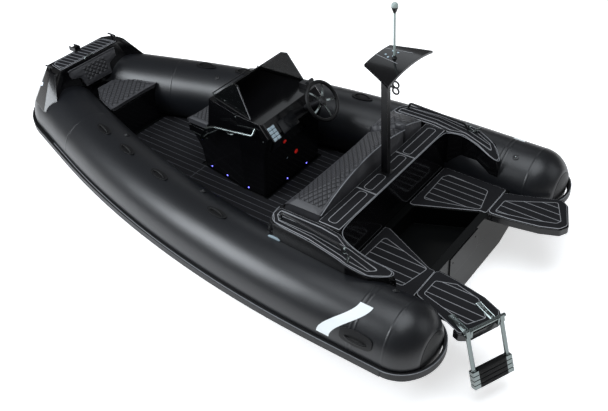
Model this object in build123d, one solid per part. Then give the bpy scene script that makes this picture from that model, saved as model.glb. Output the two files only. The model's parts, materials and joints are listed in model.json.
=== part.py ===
from build123d import *
import os
from math import sin, cos, tan, asin, radians, degrees, sqrt

# Rigid-hull inflatable boat, millimetres. +X forward, +Y port, +Z up.
# Origin: on the centreline at the waterline, just forward of the swim platforms' aft ends.

# Driving dimensions
GAP = 0.3               # seat between soft or round pieces and what carries them
TUBE_R = 265            # radius of the buoyancy tubes
TUBE_Y = 955            # tube centreline from the boat's centreline, aft
TUBE_Z = 426            # tube centreline above the waterline
TUBE_X0 = 320           # seam of the stern cones
TUBE_X1 = 800           # where the tubes start to curve in
HEADING = 18            # degrees the tubes turn in before the bow
BOW_R = 360             # bend of the bow tube
BOW_CX = 4000           # centre of that bend
CONE_L = 235            # length of the elliptical stern cones
CONE_R = 150            # flat end of a cone, closed by its cap
CAP_R = CONE_R - 6        # dark cap over a cone's flat end
CAP_BULGE = 22
STRAKE_T, STRAKE_H, STRAKE_DROP = 23, 52, 40      # rubbing strake: thickness, height, drop below the middle
STRAKE_END = 400        # where the strake ends on the inner side of the cones
FLOOR_Z = 250           # cockpit sole
MAT = 6                 # thickness of the deck mats
KEEL_Z = -200
TRANSOM_X = 430
TRANSOM_T = 60
TRANSOM_PAD = 8         # outboard plate on the transom's aft face
PAD_HALF, PAD_Z0, PAD_Z1 = 200, 262, 448
BOLT_SPAN, BOLT_R, BOLT_Z = 327, 6.5, 395    # upper pair of outboard bolts
CHINE_IN, FLANGE_IN, FLANGE_Z = 150, 120, 175
BEAM_X0, BEAM_X1 = 985, 1160      # crossbeam behind the bench
BEAM_Z = 800
SIDE_X1 = 1480          # front end of the side decks
BENCH_X1 = 1450
BENCH_Z = 690
BENCH_SPLIT = -410      # where the long cushion ends and the starboard one starts
BENCH_LIP = 780         # front edge of the bench cushions
RIDGE_Z, RIDGE_DROP = 960, 150    # arched rear edge of the bench cushions
AFT_Z = 460             # fixed aft platforms
WELL_Z = 300
WELL_FRONT, WELL_AFT = 150, 350   # half-widths of the motor well
WELL_X1 = 930
SWIM_Z, SWIM_T = 474, 56          # swim platforms: top and thickness
CON_Y = -182            # middle of the console
CON_HALF, CON_NOSE_HALF = 345, 248  # half-widths at the helm and at the front seat
CON_SEAT_Z = 612
CON_SEAT_X0, CON_SEAT_X1 = 2700, 2930
CON_SEAT_HALF = 278
SCREEN_T = 8
SCREEN_TOP = 1175
WHEEL_AT = (1848, -315, 972)
WHEEL_R, WHEEL_RIM_R = 150, 14
WHEEL_TILT = 35         # degrees the wheel's shaft rises towards the helm seat
SHAFT_LEN = 260
SEAT_PAD = 60
BOW_SEAT_X0, BOW_SEAT_X1 = 3620, 4000
BOW_SEAT_Z = 555
CUSHION = 45
NOSE_Z = 840
NOSE_X0, NOSE_X1 = 4110, 4300
MAST_X = 1075
MAST_W, MAST_D = 50, 38
MAST_TOP = 1630
WING_Z = 1728           # middle of the arched wing
WING_T, WING_RISE = 16, 34
POLE_X, POLE_TOP = 1010, 2108
LAMP_R = 22
LUG_Y, LUG_T = 104, 14  # ladder lugs: half-distance and thickness
PLATE_LEN, PLATE_W = 175, 44
LADDER_AT = (-68, 665, 522)       # middle of the ladder's hinge bar
LADDER_TURN = 25        # degrees the ladder and platform ends are turned outboard
LADDER_LEAN = 20        # degrees the rails lean aft of plumb
LADDER_HALF = 130       # half-distance between the rails
LADDER_LEN = 300
TREAD_PITCH = 32
RAIL_STAGES = ((15, 12.5), (12, 9.5), (9, 6.5), (6, 0))   # outer, inner radius of each stage

H = radians(HEADING)
P3 = (BOW_CX + BOW_R * sin(H), BOW_R * cos(H))            # start of the bow bend
SHEER_R = (TUBE_Y - P3[1] - tan(H) * (P3[0] - TUBE_X1)) / (1 - cos(H) - tan(H) * sin(H))
P2 = (TUBE_X1 + SHEER_R * sin(H), TUBE_Y - SHEER_R * (1 - cos(H)))   # seam of the bow tube
CONE_X = TUBE_X0 - CONE_L * sqrt(1 - (CONE_R / TUBE_R) ** 2)        # flat end of the cones
DECK_HALF = TUBE_Y - TUBE_R + 10    # half-width between the side decks, which sit on the tubes
BENCH_END = DECK_HALF - 40


def tube_y(x):
    """Half-distance between the tube centrelines at station x."""
    if x <= TUBE_X1:
        return TUBE_Y
    if x <= P2[0]:
        return TUBE_Y - SHEER_R + sqrt(SHEER_R ** 2 - (x - TUBE_X1) ** 2)
    if x <= P3[0]:
        return P3[1] + tan(H) * (P3[0] - x)
    return sqrt(max(BOW_R ** 2 - (x - BOW_CX) ** 2, 0))


def block(x0, x1, y0, y1, z0, z1):
    return Pos((x0 + x1) / 2, (y0 + y1) / 2, (z0 + z1) / 2) * Box(x1 - x0, y1 - y0, z1 - z0)


def slab(points, z0, z1):
    """Plan outline (x, y) raised from z0 to z1."""
    return Pos(0, 0, z0) * extrude(make_face(Polyline(*points, close=True)), amount=z1 - z0)


def profile(points, y0, y1):
    """Side outline (x, z) drawn out from y0 to y1."""
    face = make_face(Polyline(*[(x, z) for x, z in points], close=True))
    return Plane(origin=(0, y1, 0), x_dir=(1, 0, 0), z_dir=(0, -1, 0)) * extrude(face, amount=y1 - y0)


def both(shape):
    return [shape, mirror(shape, about=Plane.XZ)]


def bar(points, radius, bend):
    """Round bar through the points with rounded corners."""
    path = FilletPolyline(*points, radius=bend)
    start = Plane(origin=path @ 0, z_dir=path % 0)
    return sweep(start * Circle(radius), path=path)


def rod(p, q, radius):
    axis = Vector(*q) - Vector(*p)
    return Plane(origin=p, z_dir=axis) * Cylinder(radius, axis.length, align=(Align.CENTER, Align.CENTER, Align.MIN))


def soften(shape, radius, edges=None):
    return fillet(edges or shape.edges(), radius)


# Tubes: one section drawn along straight, curved, straight and bow runs
def along_side(section, x0=TUBE_X0):
    start = Plane(origin=(x0, TUBE_Y, TUBE_Z), x_dir=(0, 1, 0), z_dir=(1, 0, 0)) * section
    bend = Plane(origin=(TUBE_X1, TUBE_Y, TUBE_Z), x_dir=(0, 1, 0), z_dir=(1, 0, 0)) * section
    pivot = Axis((TUBE_X1, TUBE_Y - SHEER_R, 0), (0, 0, -1))
    return extrude(start, TUBE_X1 - x0, dir=(1, 0, 0)) + revolve(bend, axis=pivot, revolution_arc=HEADING)


def along_bow(section):
    ahead, out = (cos(H), -sin(H), 0), (sin(H), cos(H), 0)
    run = sqrt((P3[0] - P2[0]) ** 2 + (P3[1] - P2[1]) ** 2)
    start = Plane(origin=(P2[0], P2[1], TUBE_Z), x_dir=out, z_dir=ahead) * section
    bend = Plane(origin=(P3[0], P3[1], TUBE_Z), x_dir=out, z_dir=ahead) * section
    straight = extrude(start, run, dir=ahead)
    turn = revolve(bend, axis=Axis((BOW_CX, 0, 0), (0, 0, -1)), revolution_arc=180 - 2 * HEADING)
    return straight + turn + mirror(straight, about=Plane.XZ)


def dome(r, length, flat_r):
    """Elliptical end of the port tube, cut off square where its radius is flat_r."""
    angle = degrees(asin(flat_r / r))
    end = length * cos(radians(angle))
    arc = EllipticalCenterArc((0, 0), length, r, start_angle=angle, arc_size=90 - angle)
    rim = Polyline((0, r), (0, 0), (end, 0), (end, flat_r)) if flat_r else Polyline((0, r), (0, 0), (end, 0))
    frame = Plane(origin=(TUBE_X0, TUBE_Y, TUBE_Z), x_dir=(-1, 0, 0), z_dir=(0, 1, 0))
    return revolve(frame * make_face(arc + rim), axis=Axis((TUBE_X0, TUBE_Y, TUBE_Z), (-1, 0, 0)))


tube_port = along_side(Circle(TUBE_R))
tube_starboard = mirror(tube_port, about=Plane.XZ)
tube_bow = along_bow(Circle(TUBE_R))
cone_port = Pos(-GAP, 0, 0) * dome(TUBE_R, CONE_L, CONE_R)
cone_starboard = mirror(cone_port, about=Plane.XZ)
tube_bow = tube_bow - Plane(origin=(P2[0], P2[1], TUBE_Z), z_dir=(cos(H), -sin(H), 0)) * Box(1200, 1200, 2 * GAP)
tube_bow = tube_bow - Plane(origin=(P2[0], -P2[1], TUBE_Z), z_dir=(cos(H), sin(H), 0)) * Box(1200, 1200, 2 * GAP)

# cutter that leaves the moulded parts seated against the tubes
seat = Circle(TUBE_R + GAP)
cutter_side = along_side(seat, CONE_X)
cutter = [cutter_side, mirror(cutter_side, about=Plane.XZ), along_bow(seat)]


def seated(shape):
    for c in cutter:
        shape = shape - c
    return max(shape.solids(), key=lambda s: s.volume)


# rubbing strake round the outside of the tubes, about the cones and a little way up their inner side
strake_section = Pos(TUBE_R + STRAKE_T / 2, -STRAKE_DROP) * Rectangle(STRAKE_T + 8, STRAKE_H) - Circle(TUBE_R + GAP)
strake_z = TUBE_Z - STRAKE_DROP
strake_end = Pos(TUBE_X0, TUBE_Y, strake_z - STRAKE_H / 2) * extrude(
    Ellipse(CONE_L + STRAKE_T, TUBE_R + STRAKE_T), amount=STRAKE_H)
strake_end = strake_end & block(0, TUBE_X0, 0, 2 * TUBE_Y, 0, TUBE_Z)
strake_end = strake_end - dome(TUBE_R + GAP, CONE_L + GAP, 0)
strake_end = max(strake_end.solids(), key=lambda s: s.volume)
strake_tail = block(TUBE_X0, STRAKE_END, TUBE_Y - TUBE_R - STRAKE_T, TUBE_Y, strake_z - STRAKE_H / 2,
                    strake_z + STRAKE_H / 2) - along_side(Circle(TUBE_R + GAP))
strake_side = along_side(strake_section) + strake_end + strake_tail
rub_strake = strake_side + mirror(strake_side, about=Plane.XZ) + along_bow(strake_section)

# Hull: V sections from transom to stem
hull_table = (            # x, keel z, chine z
    (TRANSOM_X, KEEL_Z, 60), (2600, KEEL_Z, 60), (3500, -130, 100), (4000, 20, 135), (4290, 128, 150))
stations = []
for x, keel, chine in hull_table:
    y = tube_y(x)
    half = [(y - CHINE_IN, chine), (y - FLANGE_IN, FLANGE_Z), (y - FLANGE_IN, FLOOR_Z)]
    ring = [(0, keel)] + half + [(-a, b) for a, b in reversed(half)]
    frame = Plane(origin=(x, 0, 0), x_dir=(0, 1, 0), z_dir=(1, 0, 0))
    stations.append(frame * make_face(Polyline(*ring, close=True)))
hull = seated(loft(stations, ruled=True))

# Stern mouldings
aft_block = block(TRANSOM_X, BEAM_X0, -DECK_HALF, DECK_HALF, FLOOR_Z, AFT_Z)
well = slab([(WELL_X1, WELL_FRONT), (TRANSOM_X + TRANSOM_T, WELL_AFT),
             (TRANSOM_X + TRANSOM_T, -WELL_AFT), (WELL_X1, -WELL_FRONT)], WELL_Z, BEAM_Z)
aft_deck = seated(aft_block - well)
aft_deck += block(TRANSOM_X - TRANSOM_PAD, TRANSOM_X, -PAD_HALF, PAD_HALF, PAD_Z0, PAD_Z1)
for side in (-1, 1):
    aft_deck -= Pos(TRANSOM_X + TRANSOM_T / 2, side * BOLT_SPAN / 2, BOLT_Z) * Rot(0, 90, 0) * Cylinder(BOLT_R, 100)

crossbeam = seated(block(BEAM_X0, BEAM_X1, -DECK_HALF, DECK_HALF, FLOOR_Z, BEAM_Z))

side_top = [(SIDE_X1 - 15, 795), (1100, BEAM_Z), (850, 765), (560, 665)]      # x, z along the middle
side_face = [(SIDE_X1 + 60, 430)] + side_top + [(540, 600), (540, 430)]
side_plan = [        # x, y at the top, y at the tube: inner edge forward to aft, then back along the outer edge
    (1600, 0, 0), (BEAM_X0 - 20, 0, 0), (870, 45, 45), (740, 45, 45), (610, 12, 12), (540, 10, 10),
    (555, 60, 70), (650, 165, 180), (800, 195, 230), (1400, 160, 210), (1470, 85, 190), (1600, 85, 190)]
side_rings = [Pos(0, 0, z) * make_face(Polyline(*[(p[0], DECK_HALF + p[column]) for p in side_plan], close=True))
              for z, column in ((430, 2), (BEAM_Z + 10, 1))]
side_deck_port = seated(profile(side_face, DECK_HALF - 10, DECK_HALF + 260) & loft(side_rings, ruled=True))
side_deck_starboard = mirror(side_deck_port, about=Plane.XZ)

swim_outline = [(TRANSOM_X, 350), (269, 368), (53, 408), (-80, 462), (-118, 530), (-20, 748), (40, 790),
                (TRANSOM_X, 640)]
swim_face = make_face(Polyline(*swim_outline, close=True))
swim_corners = swim_face.vertices().sort_by(Axis.X)[:4]
swim_face = fillet(swim_corners, 35)
swim_platform_port = Pos(0, 0, SWIM_Z - SWIM_T) * extrude(swim_face, amount=SWIM_T)
swim_platform_port = fillet(swim_platform_port.edges().filter_by(lambda e: e.center().Z > SWIM_Z - 1
                                                                and e.center().X < TRANSOM_X - 1), 7)
swim_platform_port = swim_platform_port - along_side(Circle(TUBE_R + 4), CONE_X - 40)
swim_platform_port = max(swim_platform_port.solids(), key=lambda s: s.volume)
swim_platform_starboard = mirror(swim_platform_port, about=Plane.XZ)

# Bench
bench_block = block(BEAM_X1, BENCH_X1, -DECK_HALF, DECK_HALF, FLOOR_Z, BENCH_Z)
bench_hold = block(BEAM_X1 + 30, BENCH_X1 - 30, BENCH_SPLIT + 40, BENCH_END - 40, FLOOR_Z + 50, BENCH_Z + 10)
bench_base = seated(bench_block) - bench_hold


def bench_pad(y0, y1, lift):
    """Sloping seat between y0 and y1 under the arch of the rear edge."""
    slope = [(BEAM_X1 + GAP, BENCH_Z + GAP), (BEAM_X1 + GAP, RIDGE_Z + lift), (BENCH_X1 + 40, BENCH_LIP + lift),
             (BENCH_X1 + 40, BENCH_Z + GAP)]
    wedge = profile(slope, y0, y1)
    ends = RIDGE_Z + lift - RIDGE_DROP
    arch = make_face(Polyline((-BENCH_END, ends), (-BENCH_END, 0), (BENCH_END, 0), (BENCH_END, ends))
                     + ThreePointArc((-BENCH_END, ends), (0, RIDGE_Z + lift), (BENCH_END, ends)))
    vault = Plane(origin=(0, 0, 0), x_dir=(0, 1, 0), z_dir=(1, 0, 0)) * extrude(arch, amount=3000)
    return wedge & vault


bench_cushion = bench_pad(BENCH_SPLIT + 3, BENCH_END, 0)
bench_cushion_starboard = bench_pad(-BENCH_END, BENCH_SPLIT - 3, 35)

# Console
dash = [(1985, 835), (2060, 935), (2610, 965)]      # x, z: lower aft edge, upper aft edge, front edge of the dash
console_side = [(2080, FLOOR_Z), (2045, 650)] + dash + [(2690, CON_SEAT_Z), (2880, CON_SEAT_Z), (2880, 540),
                                                       (2800, 430), (2770, FLOOR_Z)]
console_plan = [(1900, CON_HALF), (2300, CON_HALF), (2950, CON_NOSE_HALF)]
console_plan = [(x, CON_Y + y) for x, y in console_plan] + [(x, CON_Y - y) for x, y in reversed(console_plan)]
console_body = slab(console_plan, 0, 2000)
console_body = profile(console_side, CON_Y - CON_HALF, CON_Y + CON_HALF) & console_body
corners = console_body.edges().filter_by(lambda e: abs((e % 0.5).Y) < 0.1 and 1980 < e.center().X < 2100
                                         and abs(e.center().Y - CON_Y) > CON_HALF - 1)
console_body = fillet(corners, 28)
lip_plan = [(CON_SEAT_X0 - 12, CON_SEAT_HALF + 4), (CON_SEAT_X1 - 12, CON_SEAT_HALF - 12)]
lip_plan = [(x, CON_Y + y) for x, y in lip_plan] + [(x, CON_Y - y) for x, y in reversed(lip_plan)]
console_lip = slab(lip_plan, CON_SEAT_Z - 62, CON_SEAT_Z)
console = console_body + console_lip
console_hold = profile([(CON_SEAT_X0 + 15, 340), (2745, 340), (2850, 520), (2850, CON_SEAT_Z + 10),
                        (CON_SEAT_X0 + 15, CON_SEAT_Z + 10)], CON_Y - 210, CON_Y + 210)
console = console - console_hold

screen_low, screen_high = [(2165, 335), (2640, 250)], [(2300, 300), (2350, 285)]     # x, half-width


def screen_ring(table, z, inset):
    right = [(x - inset * 3, CON_Y + y - inset) for x, y in table]
    left = [(x, 2 * CON_Y - y) for x, y in reversed(right)]
    return Pos(0, 0, z) * make_face(Polyline(*right, *left, close=True))


screen_outer = loft([screen_ring(screen_low, 930, 0), screen_ring(screen_high, SCREEN_TOP, 0)], ruled=True)
screen_inner = loft([screen_ring(screen_low, 920, SCREEN_T), screen_ring(screen_high, SCREEN_TOP + 10, SCREEN_T)],
                    ruled=True)
windscreen = screen_outer - screen_inner
windscreen = windscreen - profile([(1500, 0)] + dash[1:] + [(3000, 965), (3000, 0)], -1000, 1000)
windscreen = max(windscreen.solids(), key=lambda s: s.volume)

seat_block = block(CON_SEAT_X0, CON_SEAT_X1, CON_Y - CON_SEAT_HALF, CON_Y + CON_SEAT_HALF,
                   CON_SEAT_Z + GAP, CON_SEAT_Z + GAP + SEAT_PAD)
console_seat = soften(seat_block, 12)

# steering wheel: rim, three spokes and boss on a raked shaft
tilt = Pos(*WHEEL_AT) * Rot(0, -(90 - WHEEL_TILT), 0)
wheel = Torus(WHEEL_R, WHEEL_RIM_R) + Cylinder(34, 26)
for angle in (0, 180, 270):
    wheel += Rot(0, 0, angle) * Pos(WHEEL_R / 2 + 8, 0, 0) * Box(WHEEL_R - 20, 22, 9)
steering_wheel = tilt * wheel
steering_column = tilt * Pos(0, 0, -13 - GAP - SHAFT_LEN / 2) * Cylinder(26, SHAFT_LEN)
steering_column = steering_column - console

dash_lean = Plane(origin=(2045, 0, 650), x_dir=(0, -1, 0), z_dir=(-185, 0, -60))
switch_panel = dash_lean * Pos(-60, 95, 4) * Box(90, 110, 8)
throttle_y = CON_Y - 265
throttle_top = (2062, 1012)         # x, z of the lever's grip
throttle_foot = Pos(2120, throttle_y, 959) * Box(70, 46, 44)
throttle_foot = throttle_foot - profile([(1900, 0), (2060, 935 + GAP), (2610, 965 + GAP), (2610, 0)], -1000, 1000)
throttle = throttle_foot + rod((2120, throttle_y, 965), (throttle_top[0], throttle_y, throttle_top[1]), 9)
throttle += Pos(throttle_top[0], throttle_y, throttle_top[1]) * Rot(90, 0, 0) * Cylinder(15, 60)
rail_y = CON_Y + CON_HALF
rail_out = rail_y + 40
console_rail = bar([(2680, rail_y - 90, 610), (2680, rail_out, 610), (2600, rail_out, 745), (2500, rail_out, 790),
                    (2120, rail_out, 845), (2120, rail_y + GAP, 885)], 11, 20)
console_rail = console_rail - console

# Bow
locker_plan = [(BOW_SEAT_X0 + 20, 330), (BOW_SEAT_X0 + 20, -330), (4160, -180), (4160, 180)]
bow_locker = seated(slab(locker_plan, FLOOR_Z, BOW_SEAT_Z))
bow_hold = slab([(BOW_SEAT_X0 + 50, 190), (BOW_SEAT_X0 + 50, -190), (3950, -90), (3950, 90)], FLOOR_Z + 50, 2000)
bow_locker = bow_locker - bow_hold
seat_plan = [(BOW_SEAT_X0, 340), (BOW_SEAT_X0, -340), (3880, -185), (BOW_SEAT_X1, -95), (BOW_SEAT_X1, 95),
             (3880, 185)]
bow_seat = slab(seat_plan, BOW_SEAT_Z + GAP, BOW_SEAT_Z + GAP + CUSHION)
for c in (along_side(Circle(TUBE_R + 8)), along_bow(Circle(TUBE_R + 8))):
    bow_seat = bow_seat - c - mirror(c, about=Plane.XZ)
bow_seat = max(bow_seat.solids(), key=lambda s: s.volume)

nose_table = (           # x, half-width at the skirt, x, half-width at the top
    (4075, 395, NOSE_X0, 300), (3965, 545, NOSE_X0, 385), (4105, 582, 4175, 385), (4310, 502, 4250, 360),
    (4492, 322, NOSE_X1, 300), (4572, 150, NOSE_X1, 200))
nose_rings = []
for z, column in ((585, 0), (NOSE_Z, 2)):
    half = [(row[column], row[column + 1]) for row in nose_table]
    nose_rings.append(Pos(0, 0, z) * make_face(Polyline(*half, *[(x, -y) for x, y in reversed(half)], close=True)))
nose_step = seated(loft(nose_rings, ruled=True))
back_half = [(265, 828), (265, 745), (175, 700), (150, 612)]       # y, z of the backrest's outline
back_face = make_face(Polyline(*back_half, *[(-y, z) for y, z in reversed(back_half)], close=True))
back_slab = Plane(origin=(4000, 0, 0), x_dir=(0, 1, 0), z_dir=(1, 0, 0)) * extrude(back_face, amount=200)
bow_backrest = back_slab & profile([(4035, 600), (4098, 828), (4135, 828), (4072, 600)], -300, 300)
bow_backrest = bow_backrest - along_bow(Circle(TUBE_R + GAP)) - nose_step
bow_backrest = max(bow_backrest.solids(), key=lambda s: s.volume)

# Mast
mast = Pos(MAST_X, 0, 0) * (Pos(0, 0, (BEAM_Z + MAST_TOP) / 2) * Box(MAST_W, MAST_D, MAST_TOP - BEAM_Z)
                            + Pos(0, 0, BEAM_Z + 6) * Box(MAST_W + 36, MAST_D + 40, 12))
wing_plan = slab([(1140, 150), (1140, -150), (885, -268), (885, 268)], MAST_TOP, WING_Z + 10)
arch_r = (268 ** 2 + WING_RISE ** 2) / (2 * WING_RISE)      # radius that rises WING_RISE over the aft edge
arch = Pos(1000, 0, WING_Z - arch_r) * Rot(0, 90, 0) * Cylinder(arch_r, 600)
mast_wing = (wing_plan & arch) - Pos(1000, 0, WING_Z - arch_r) * Rot(0, 90, 0) * Cylinder(arch_r - WING_T, 600)
mast_wing = max(mast_wing.solids(), key=lambda s: s.volume)
pod_low = Pos(MAST_X, 0, MAST_TOP) * Rectangle(72, 56)
pod_high = Pos(1045, 0, WING_Z - WING_T + 2) * Rectangle(170, 230)
mast_wing += loft([pod_low, pod_high], ruled=True) & arch
lamp_z = POLE_TOP - LAMP_R
light_pole = rod((POLE_X, 0, WING_Z - 2), (POLE_X, 0, lamp_z - 30), 7) - arch
light_pole += Pos(POLE_X, 0, lamp_z - 28) * Cone(9, LAMP_R, 36) + Pos(POLE_X, 0, lamp_z) * Sphere(LAMP_R)
hook_z, hook_x = 1515, MAST_X - MAST_W / 2
tow_hook = rod((hook_x - GAP, 0, hook_z), (hook_x - 30, 0, hook_z), 8)
for side in (-1, 1):
    tow_hook += Pos(hook_x - 52, 0, hook_z + side * 23) * Rot(90, 0, 0) * Torus(23, 6)

# Boarding ladder
ladder_frame_at = Pos(*LADDER_AT) * Rot(0, 0, 180 - LADDER_TURN) * Rot(0, -LADDER_LEAN, 0)
# local frame of the ladder: y across the treads, -z down the rails


def rails(r_out, r_in, top, bottom):
    out = []
    for side in (-1, 1):
        tube = Pos(0, side * LADDER_HALF, (top + bottom) / 2) * Cylinder(r_out, top - bottom)
        if r_in:
            tube -= Pos(0, side * LADDER_HALF, (top + bottom) / 2) * Cylinder(r_in, top - bottom)
        out.append(tube)
    return out


def tread(z):
    return Pos(0, 0, z) * Box(46, 2 * LADDER_HALF + 44, 26)


stages = []
for index, (r_out, r_in) in enumerate(RAIL_STAGES):
    bottom = -LADDER_LEN - index * TREAD_PITCH
    top = -20 - index * 12
    step = tread(bottom + 13)
    if r_in:
        for side in (-1, 1):
            step -= Pos(0, side * LADDER_HALF, bottom + 13) * Cylinder(r_in, 40)
    stage = rails(r_out, r_in, top, bottom)
    stages.append(stage[0] + stage[1] + step)
hinge_bar = Rot(90, 0, 0) * Cylinder(13, 2 * LADDER_HALF + 60)
knuckles = [Pos(0, side * LADDER_HALF, -12) * Box(30, 30, 40) for side in (-1, 1)]
top_stage = stages[0] + hinge_bar + knuckles[0] + knuckles[1]
ladder_frame = ladder_frame_at * top_stage
ladder_stage_2 = ladder_frame_at * stages[1]
ladder_stage_3 = ladder_frame_at * stages[2]
ladder_stage_4 = ladder_frame_at * stages[3]

turned = Pos(*LADDER_AT) * Rot(0, 0, 180 - LADDER_TURN)
brackets = []
for side in (-1, 1):
    lug = Box(34, LUG_T, LADDER_AT[2] - SWIM_Z, align=(Align.CENTER, Align.CENTER, Align.MAX)) + \
        Rot(90, 0, 0) * Cylinder(17, LUG_T)
    foot = Pos(-PLATE_LEN / 2 - 24, 0, SWIM_Z - LADDER_AT[2] + 3) * Box(PLATE_LEN, PLATE_W, 6)
    neck = Pos(-20, 0, SWIM_Z - LADDER_AT[2] + 8) * Box(60, LUG_T, 16)
    piece = lug + foot + neck - Rot(90, 0, 0) * Cylinder(13 + GAP, 60)
    brackets.append(turned * Pos(0, side * LUG_Y, 0) * piece)
ladder_brackets = brackets[0] + brackets[1]

# Deck mats
def mat(points, z):
    return slab(points, z, z + MAT)


def mirrored(points):
    return points + [(x, -y) for x, y in reversed(points)]


floor_edge = [(x, tube_y(x) - 225) for x in (1800, 2150, 2500, 2850, 3200, 3600)]
mat_floor = mat(mirrored([(BENCH_X1 + 15, tube_y(BENCH_X1) - 225)] + floor_edge), FLOOR_Z) - \
    slab([(2060, CON_Y + CON_HALF + 12), (2300, CON_Y + CON_HALF + 12), (2830, CON_Y + CON_NOSE_HALF + 28),
          (2830, CON_Y - CON_NOSE_HALF - 28), (2300, CON_Y - CON_HALF - 12), (2060, CON_Y - CON_HALF - 12)], 0, 1000)
raised = [(x, z + MAT) for x, z in side_face]
side_skin = profile(raised, DECK_HALF, DECK_HALF + 200) - profile(side_face, DECK_HALF - 1, DECK_HALF + 201)
side_mat = [(1445, 15), (1445, 75), (1390, 145), (800, 175), (665, 145), (585, 60), (620, 30), (740, 60),
            (870, 60), (960, 15)]       # x, distance out from the side deck's inner edge
side_skin = side_skin & slab([(x, DECK_HALF + y) for x, y in side_mat], 500, 1000)
side_mats = both(max(side_skin.solids(), key=lambda s: s.volume))
beam_mats = [mat([(BEAM_X0 + 15, y0), (BEAM_X1 - 15, y0), (BEAM_X1 - 15, y1), (BEAM_X0 + 15, y1)], BEAM_Z)
             for y0, y1 in ((262, 685), (75, 245), (-245, -75), (-685, -262))]
aft_mats = both(mat([(960, 175), (960, DECK_HALF - 15), (500, DECK_HALF - 15), (500, 368)], AFT_Z))
swim_port_mat = mat([(415, 370), (262, 388), (110, 415), (220, 660), (415, 612)], SWIM_Z)
swim_starboard_mat = mat([(415, -370), (262, -388), (60, -428), (-66, -476), (-94, -534), (0, -735), (48, -762),
                          (415, -612)], SWIM_Z)
swim_mats = [swim_port_mat, swim_starboard_mat]
side_rail = bar([(1385, DECK_HALF + 100, 797), (1365, DECK_HALF + 100, 858), (900, DECK_HALF + 122, 825),
                 (850, DECK_HALF + 122, 766)], 9, 24)
side_rail = side_rail - side_deck_port - side_skin
side_rails = Compound(children=[s.solid() for s in both(side_rail)])

# Fittings glued to the tubes
def on_tube(x, length, width, thick):
    """Lens-shaped rubber patch on top of the port tube at station x."""
    slope = Vector(1, (tube_y(x + 1) - tube_y(x - 1)) / 2, 0).normalized()
    frame = Plane(origin=(x, tube_y(x), TUBE_Z), x_dir=(-slope.Y, slope.X, 0), z_dir=slope)
    shell = frame * (Cylinder(TUBE_R + thick, length) - Cylinder(TUBE_R + 1, length + 1))
    lens = Plane(origin=(x, tube_y(x), TUBE_Z), x_dir=slope, z_dir=(0, 0, 1)) * extrude(
        Ellipse(length / 2, width / 2), amount=400)
    return shell & lens


handles = [on_tube(x, 190, 66, 9) for x in (1880, 2530, 2970, 3330)]
tube_handles = Compound(children=[s.solid() for h in handles for s in both(h)])
cap_r = (CAP_R ** 2 + CAP_BULGE ** 2) / (2 * CAP_BULGE)
cap_base = Pos(CONE_X - 2 * GAP, TUBE_Y, TUBE_Z)
cap = cap_base * Pos(cap_r - CAP_BULGE, 0, 0) * Sphere(cap_r)
cap = cap & block(0, CONE_X - 2 * GAP, 0, 2 * TUBE_Y, 0, 2000)
cone_caps = Compound(children=[s.solid() for s in both(cap)])
roller = Pos(4312, 0, NOSE_Z + 20) * Rot(90, 0, 0) * Cylinder(17, 44)
cheeks = [block(4262, 4340, y - 3, y + 3, NOSE_Z + MAT, NOSE_Z + 44) for y in (-26, 26)]
sole = block(4255, 4298, -29, 29, NOSE_Z + MAT, NOSE_Z + MAT + 4)
bow_roller = roller + cheeks[0] + cheeks[1] + sole + Pos(4312, 0, NOSE_Z + 20) * Rot(90, 0, 0) * Cylinder(6, 58)
cleat_post = Pos(0, 0, NOSE_Z + 13) * Cylinder(9, 26)
cleat = Pos(4215, 345, 0) * (cleat_post + Pos(0, 0, NOSE_Z + 28) * Rot(0, 90, 0) * Cylinder(7, 90))
bow_fittings = Compound(children=[bow_roller.solid()] + [s.solid() for s in both(cleat)])
nose_mat = mat([(NOSE_X0 + 14, 310), (NOSE_X1 - 45, 288), (NOSE_X1 - 14, 250), (NOSE_X1 - 14, -250),
                (NOSE_X1 - 45, -288), (NOSE_X0 + 14, -310)], NOSE_Z)
mats_aft = Compound(children=[s.solid() for s in aft_mats + swim_mats])
mats_side = Compound(children=[s.solid() for s in side_mats + beam_mats])

nodes = dict(
    hull=hull, tube_port=tube_port, tube_starboard=tube_starboard, tube_bow=tube_bow, cone_port=cone_port,
    cone_starboard=cone_starboard, rub_strake=rub_strake, aft_deck=aft_deck, crossbeam=crossbeam,
    side_deck_port=side_deck_port, side_deck_starboard=side_deck_starboard,
    swim_platform_port=swim_platform_port, swim_platform_starboard=swim_platform_starboard,
    bench_base=bench_base, bench_cushion=bench_cushion, bench_cushion_starboard=bench_cushion_starboard,
    console=console, windscreen=windscreen, console_seat=console_seat, steering_wheel=steering_wheel,
    steering_column=steering_column, throttle=throttle, switch_panel=switch_panel, bow_locker=bow_locker,
    bow_seat=bow_seat, nose_step=nose_step, bow_backrest=bow_backrest, mast=mast, mast_wing=mast_wing,
    light_pole=light_pole, tow_hook=tow_hook, ladder_frame=ladder_frame, ladder_stage_2=ladder_stage_2,
    ladder_stage_3=ladder_stage_3, ladder_stage_4=ladder_stage_4, ladder_brackets=ladder_brackets,
    console_rail=console_rail, side_rails=side_rails, tube_handles=tube_handles, cone_caps=cone_caps,
    bow_fittings=bow_fittings, mat_floor=mat_floor, mats_aft=mats_aft, mats_side=mats_side, nose_mat=nose_mat)

os.makedirs("parts", exist_ok=True)
for name, shape in nodes.items():
    export_step(shape, f"parts/{name}.step")
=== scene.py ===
import json
from math import asin, atan2, cos, pi, radians, sin, sqrt, tan
import bpy
from bpy.types import Operator, Panel, PropertyGroup
from mathutils import Matrix, Vector


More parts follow.
